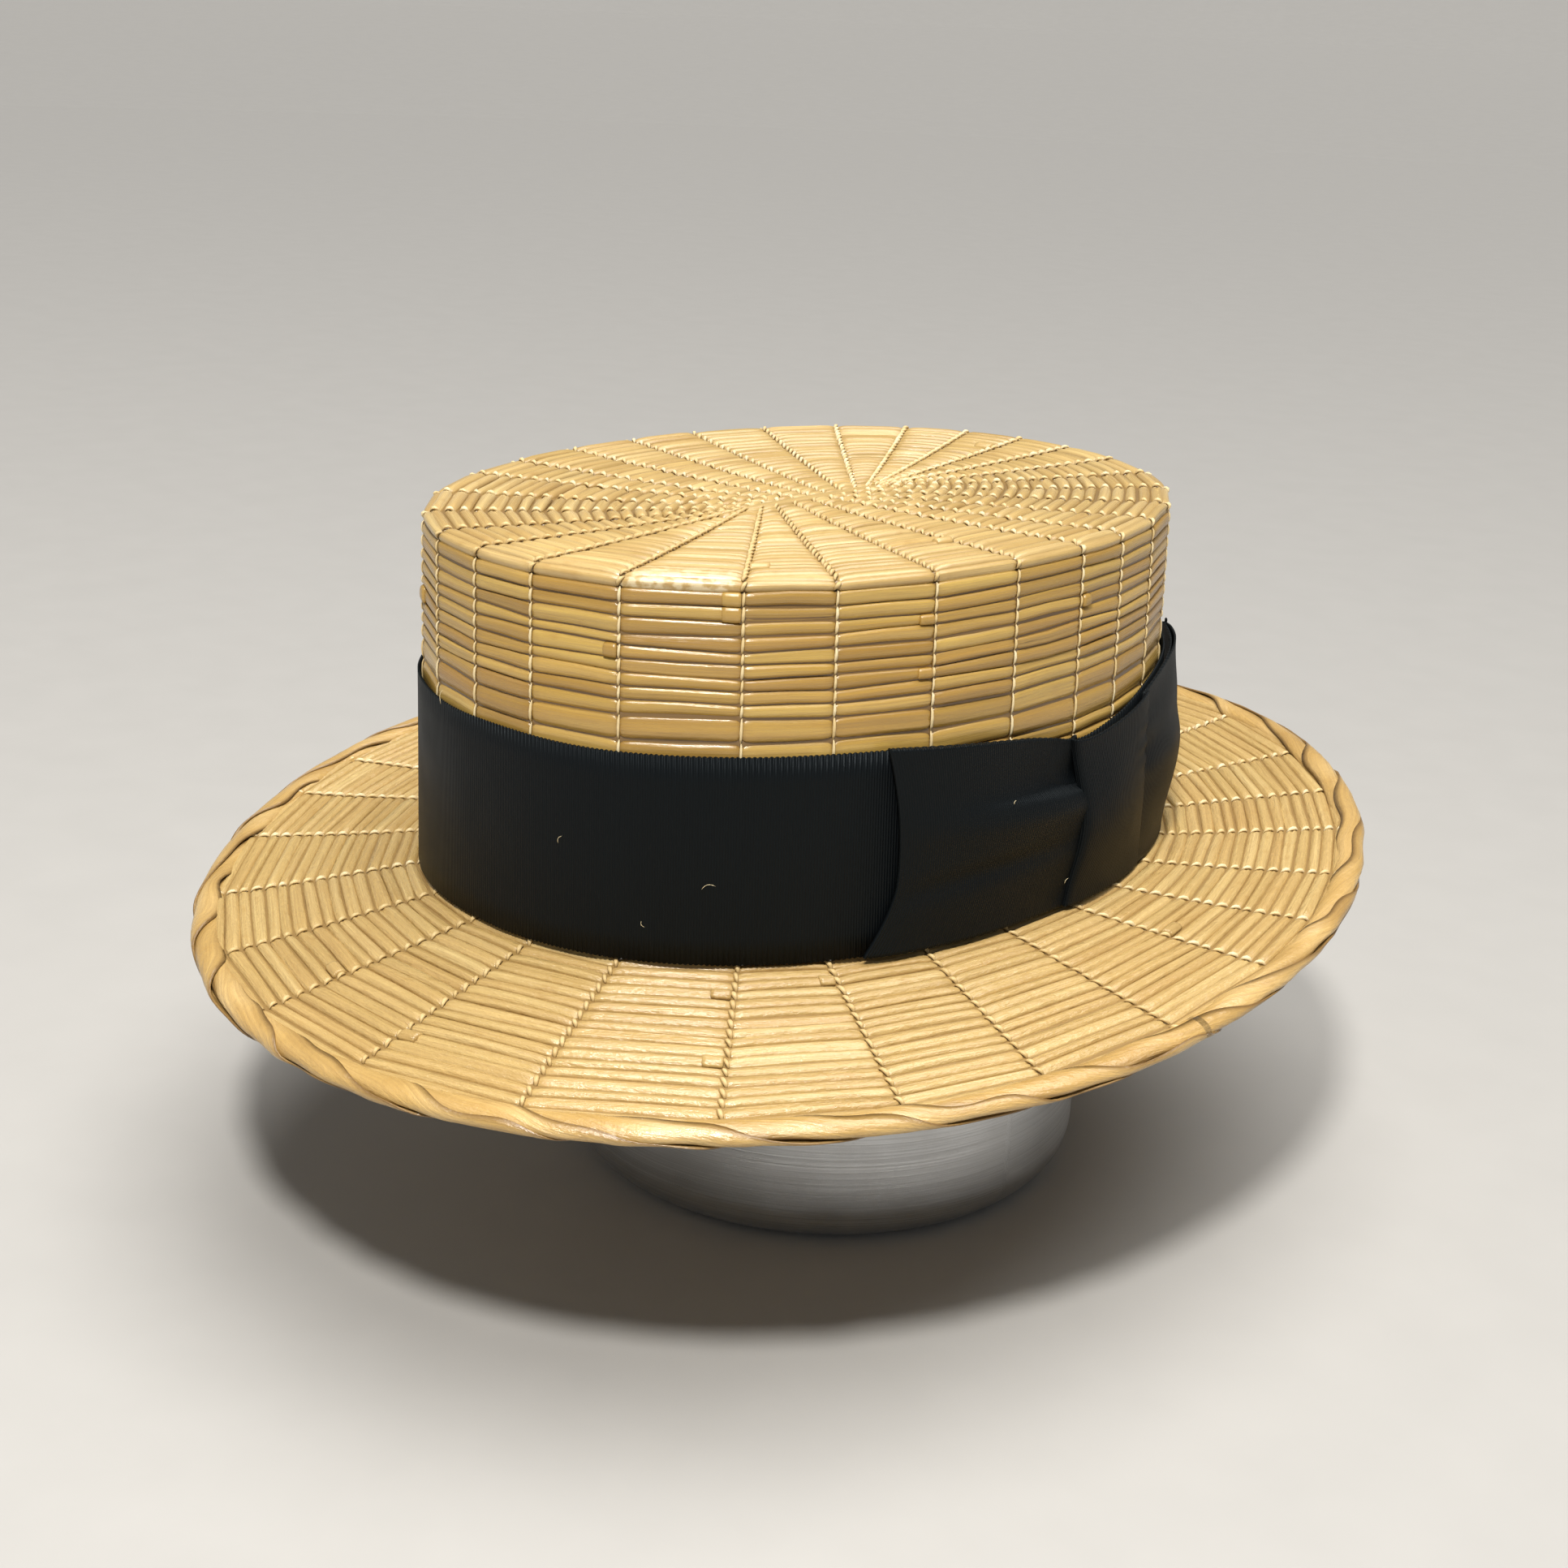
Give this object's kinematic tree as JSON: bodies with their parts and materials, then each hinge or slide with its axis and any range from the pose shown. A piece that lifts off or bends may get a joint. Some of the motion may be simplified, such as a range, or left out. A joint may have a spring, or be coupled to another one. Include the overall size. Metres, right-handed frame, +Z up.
{
  "type": "straw boater hat on a round metal stand",
  "caption": "Stiff woven straw boater: flat oval crown, wide wavy brim with a twisted edge, black grosgrain band and flat bow, on a spun-metal drum stand.",
  "frame": {"origin": "on the hat's upright axis, at the level of the stand's underside", "axes": "+Z up; -Y is the front of the hat; +X is the wearer's left side, with the bow"},
  "size_m": [0.274, 0.321, 0.178],
  "materials": {
    "straw": "woven flat straw, satin",
    "straw_edge": "twisted straw strips, satin",
    "ribbon": "black grosgrain, fine upright ribs",
    "spun_metal": "spun, fine lines round the drum"
  },
  "bodies": {
    "root": {"crown_tip": "straw", "crown_wall": "straw", "brim": "straw", "brim_edge": "straw_edge", "ribbon_band": "ribbon", "bow_front_loop": "ribbon", "bow_knot": "ribbon", "bow_back_loop": "ribbon", "stand": "spun_metal"}
  },
  "joints": []
}
